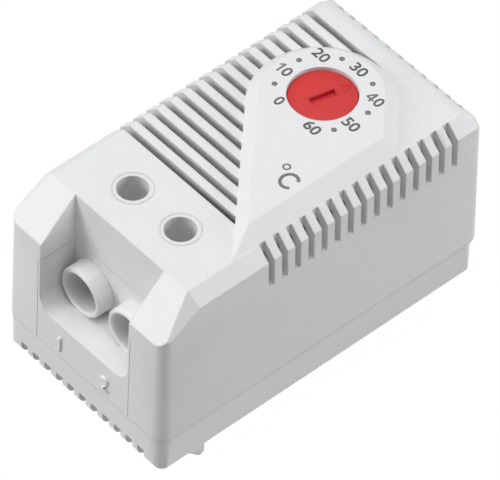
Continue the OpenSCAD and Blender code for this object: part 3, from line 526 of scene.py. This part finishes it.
def terminal_numbers():
    for text, x, width in TERMINAL_NUMBERS:
        bm = fitted_glyphs(text, TERMINAL_NUMBER_BOLD, width, TERMINAL_NUMBER_H)
        for v in bm.verts:
            v.co = Vector((v.co.x + x * MM, (FRONT_Y + RAISED_SINK) * MM, v.co.y + TERMINAL_NUMBER_Z * MM))
        thicken(bm, Vector((0, -(RAISED + RAISED_SINK) * MM, 0)))
        # The lighter plastic is a painted highlight on the raised strokes
        finish_mesh(f"terminal_number_{text}", bm, RAISED_MARK_PAINTED_HIGHLIGHT, "housing")


# The faint raised ring round each screwdriver hole
RING_R = 3.05
RING_W = 0.25
RING_RISE = 0.03
RING_STEPS = 64


def hole_rings():
    for side in ("left", "right"):
        x, y, z = (c / MM for c in MOUNTS[f"screw_access_{side}"]["pos_m"])
        levels = (z - PRINT_SINK, z + RING_RISE)
        ring = arc_band((x, y), (RING_R, RING_R), RING_W, (0, FULL_TURN), RING_STEPS, levels)
        finish_mesh(f"hole_ring_{side}", ring, COVER, "housing")


# The dial's raised pointer, beyond the far end of its slot, and the slot's rim and floor.
# A point is given by its distance along the slot and across it, from the dial's centre.
SLOT_ANGLE = 76.7
POINTER = [(4.35, 0.0), (3.05, 0.95), (3.05, -0.95)]
POINTER_INSIDE = [(4.08, 0.0), (3.17, 0.68), (3.17, -0.68)]
POINTER_RISE = 0.06
# Half length and half width of the rim, of its opening and of the floor
RIM = (2.2, 0.65)
RIM_INSIDE = (2.02, 0.47)
SLOT_FLOOR = (1.97, 0.42)
RIM_RISE = 0.03
SLOT_DEPTH = 0.6
SLOT_FLOOR_THICKNESS = 0.04


def rectangle(half_l, half_w):
    return [(half_l, half_w), (-half_l, half_w), (-half_l, -half_w), (half_l, -half_w)]


def on_dial(point, z):
    """The place, in metres, of a point along and across the slot, at the level z."""
    along, across = point
    a = math.radians(SLOT_ANGLE)
    x = along * math.cos(a) - across * math.sin(a)
    y = DIAL_Y + along * math.sin(a) + across * math.cos(a)
    return x * MM, y * MM, z * MM


def dial_band(name, outside, inside, rise):
    """A raised closed band between two outlines on the dial's face."""
    low, high = DIAL_Z - PRINT_SINK, DIAL_Z + rise
    sections = []
    for out, inn in zip(outside, inside):
        sections.append([on_dial(out, low), on_dial(out, high), on_dial(inn, high), on_dial(inn, low)])
    finish_mesh(name, band(sections, closed=True), DIAL, "dial")


def dial_details():
    dial_band("dial_pointer", POINTER, POINTER_INSIDE, POINTER_RISE)
    dial_band("dial_slot_rim", rectangle(*RIM), rectangle(*RIM_INSIDE), RIM_RISE)
    bm = bmesh.new()
    bm.faces.new([bm.verts.new(on_dial(point, DIAL_Z - SLOT_DEPTH)) for point in rectangle(*SLOT_FLOOR)])
    thicken(bm, Vector((0, 0, SLOT_FLOOR_THICKNESS * MM)))
    finish_mesh("dial_slot_floor", bm, SLOT_RED, "dial")


scale_marks()
unit_marks()
terminal_numbers()
hole_rings()
dial_details()


# Floor, sky, lamps and camera, in metres

# Colours for the light, and the floor's half width
WHITE = (1, 1, 1, 1)
FLOOR_GREY = (0.5, 0.5, 0.5, 1)
FLOOR_HALF = 3.0
# The floor's white, and the share of it that covers the shadow
FLOOR_WHITE = 1.05
FLOOR_WHITE_SHARE = 0.94
SKY = 0.06
# Lamps: place, side of the square and power in watts, and the point that they all aim at
LAMPS = {
    "key_light": ((-0.02, -0.02, 0.95), 0.7, 6.3),
    "left_light": ((-0.50, -0.70, 0.42), 0.5, 5.0),
    "right_light": ((0.66, 0.62, 0.3), 0.4, 3.85),
}
LAMP_AIM = (0, 0, 0.02)
# The camera fitted to the photograph: place, turn in degrees, lens in millimetres and near clipping
CAMERA_PLACE = (0.45855, -0.42872, 0.72245)
CAMERA_TURN = (41.790, -1.391, 48.426)
CAMERA_LENS = 486.3
CAMERA_CLIP = 0.01


def seen(owner):
    """Gives 1 to what the camera sees, also in gloss or glass, and 0 to the light that the object gets."""
    path = add(owner, "ShaderNodeLightPath", -600)
    so_far = path.outputs["Is Camera Ray"]
    for ray, x in (("Is Glossy Ray", -350), ("Is Transmission Ray", -200)):
        larger = add(owner, "ShaderNodeMath", x)
        larger.operation = "MAXIMUM"
        link(owner, so_far, larger.inputs[0])
        link(owner, path.outputs[ray], larger.inputs[1])
        so_far = larger.outputs[0]
    return so_far


def mixed(owner, factor, plain, white, out):
    """Shows the plain shader where the factor is 0 and the white one where it is 1."""
    mix = add(owner, "ShaderNodeMixShader", 300)
    link(owner, factor, mix.inputs[0])
    link(owner, plain.outputs[0], mix.inputs[1])
    link(owner, white.outputs[0], mix.inputs[2])
    link(owner, mix.outputs[0], out.inputs[0])


def floor_material():
    """A matte grey for the light, which the camera sees as white with a faint shadow."""
    mat = emptied(bpy.data.materials.new("floor"))
    matte = add(mat, "ShaderNodeBsdfDiffuse", Color=FLOOR_GREY)
    glow = add(mat, "ShaderNodeEmission", 0, 200, Strength=FLOOR_WHITE)
    share = add(mat, "ShaderNodeMath", -50)
    share.operation = "MULTIPLY"
    share.inputs[1].default_value = FLOOR_WHITE_SHARE
    link(mat, seen(mat), share.inputs[0])
    mixed(mat, share.outputs[0], matte, glow, add(mat, "ShaderNodeOutputMaterial", 600))
    return mat


def make_floor():
    h = FLOOR_HALF
    mesh = bpy.data.meshes.new("floor")
    mesh.from_pydata([(-h, -h, 0), (h, -h, 0), (h, h, 0), (-h, h, 0)], [], [(0, 1, 2, 3)])
    mesh.materials.append(floor_material())
    floor = bpy.data.objects.new("floor", mesh)
    SCENE.collection.objects.link(floor)


def make_sky():
    """A faint white sky for the light, which the camera sees as white."""
    world = emptied(bpy.data.worlds.new("studio"))
    SCENE.world = world
    sky = add(world, "ShaderNodeBackground", Color=WHITE, Strength=SKY)
    white = add(world, "ShaderNodeBackground", 0, 200, Color=WHITE)
    mixed(world, seen(world), sky, white, add(world, "ShaderNodeOutputWorld", 600))


def make_lamps():
    for name, (place, size, power) in LAMPS.items():
        lamp = bpy.data.lights.new(name, "AREA")
        lamp.shape = "SQUARE"
        lamp.size = size
        lamp.energy = power
        obj = bpy.data.objects.new(name, lamp)
        obj.location = place
        obj.rotation_euler = (Vector(LAMP_AIM) - Vector(place)).to_track_quat("-Z", "Y").to_euler()
        SCENE.collection.objects.link(obj)


def make_camera():
    data = bpy.data.cameras.new("camera")
    data.lens = CAMERA_LENS
    data.clip_start = CAMERA_CLIP
    camera = bpy.data.objects.new("camera", data)
    camera.location = CAMERA_PLACE
    camera.rotation_euler = Euler([math.radians(a) for a in CAMERA_TURN])
    SCENE.collection.objects.link(camera)
    SCENE.camera = camera


make_floor()
make_sky()
make_lamps()
make_camera()
SCENE.view_settings.view_transform = "Standard"
